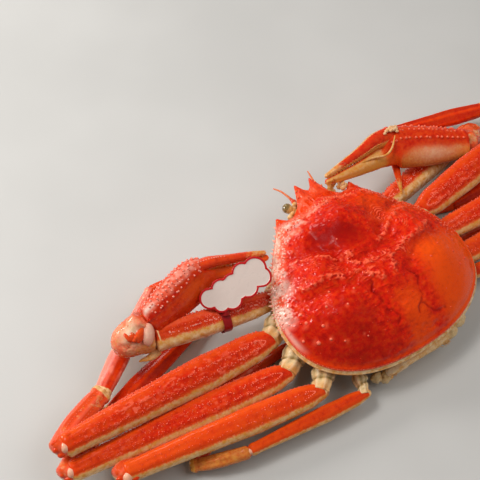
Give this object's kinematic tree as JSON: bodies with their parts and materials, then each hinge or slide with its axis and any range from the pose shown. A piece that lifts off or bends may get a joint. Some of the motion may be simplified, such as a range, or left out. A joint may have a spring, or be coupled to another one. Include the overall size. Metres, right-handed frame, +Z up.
{
  "type": "snow crab",
  "caption": "Life-size cooked snow crab lying on its belly, legs folded in and claws forward, with a blank name tag banded to one claw leg.",
  "frame": {"origin": "on the floor, at the middle of the flat of the belly flap, under the middle of the body", "axes": "+X to the crab's left, -Y to its front, +Z up from the floor"},
  "size_m": [0.4156, 0.1563, 0.0561],
  "materials": {
    "shell_red": "glossy cooked crab shell, red",
    "shell_orange": "glossy cooked crab shell, orange-red",
    "shell_cream": "satin crab shell, cream with orange",
    "shell_pale": "satin crab shell, pale underside",
    "eye": "glassy olive-brown",
    "tag_plate": "glossy cream plastic",
    "tag_strap": "satin dark red plastic"
  },
  "bodies": {
    "root": {"carapace": "shell_red", "thorax": "shell_cream", "abdomen": "shell_pale", "mouthparts": "shell_cream", "eye_L": "eye", "eye_R": "eye", "antenna_L": "shell_orange", "antenna_R": "shell_orange", "tag": "tag_plate", "tag_band": "tag_strap", "cheliped_L_base": "shell_cream", "cheliped_L_merus": "shell_red", "cheliped_L_carpus": "shell_orange", "cheliped_L_propodus": "shell_red", "cheliped_L_dactyl": "shell_orange", "cheliped_R_base": "shell_cream", "cheliped_R_merus": "shell_red", "cheliped_R_carpus": "shell_orange", "cheliped_R_propodus": "shell_red", "cheliped_R_dactyl": "shell_orange", "leg1_L_base": "shell_cream", "leg1_L_merus": "shell_red", "leg1_L_carpus": "shell_orange", "leg1_L_propodus": "shell_red", "leg1_L_dactyl": "shell_orange", "leg1_R_base": "shell_cream", "leg1_R_merus": "shell_red", "leg1_R_carpus": "shell_orange", "leg1_R_propodus": "shell_red", "leg1_R_dactyl": "shell_orange", "leg2_L_base": "shell_cream", "leg2_L_merus": "shell_red", "leg2_L_carpus": "shell_orange", "leg2_L_propodus": "shell_red", "leg2_L_dactyl": "shell_orange", "leg2_R_base": "shell_cream", "leg2_R_merus": "shell_red", "leg2_R_carpus": "shell_orange", "leg2_R_propodus": "shell_red", "leg2_R_dactyl": "shell_orange", "leg3_L_base": "shell_cream", "leg3_L_merus": "shell_red", "leg3_L_carpus": "shell_orange", "leg3_L_propodus": "shell_red", "leg3_L_dactyl": "shell_orange", "leg3_R_base": "shell_cream", "leg3_R_merus": "shell_red", "leg3_R_carpus": "shell_orange", "leg3_R_propodus": "shell_red", "leg3_R_dactyl": "shell_orange", "leg4_L_base": "shell_cream", "leg4_L_merus": "shell_red", "leg4_L_carpus": "shell_orange", "leg4_L_propodus": "shell_red", "leg4_L_dactyl": "shell_orange", "leg4_R_base": "shell_cream", "leg4_R_merus": "shell_red", "leg4_R_carpus": "shell_orange", "leg4_R_propodus": "shell_red", "leg4_R_dactyl": "shell_orange"}
  },
  "joints": []
}
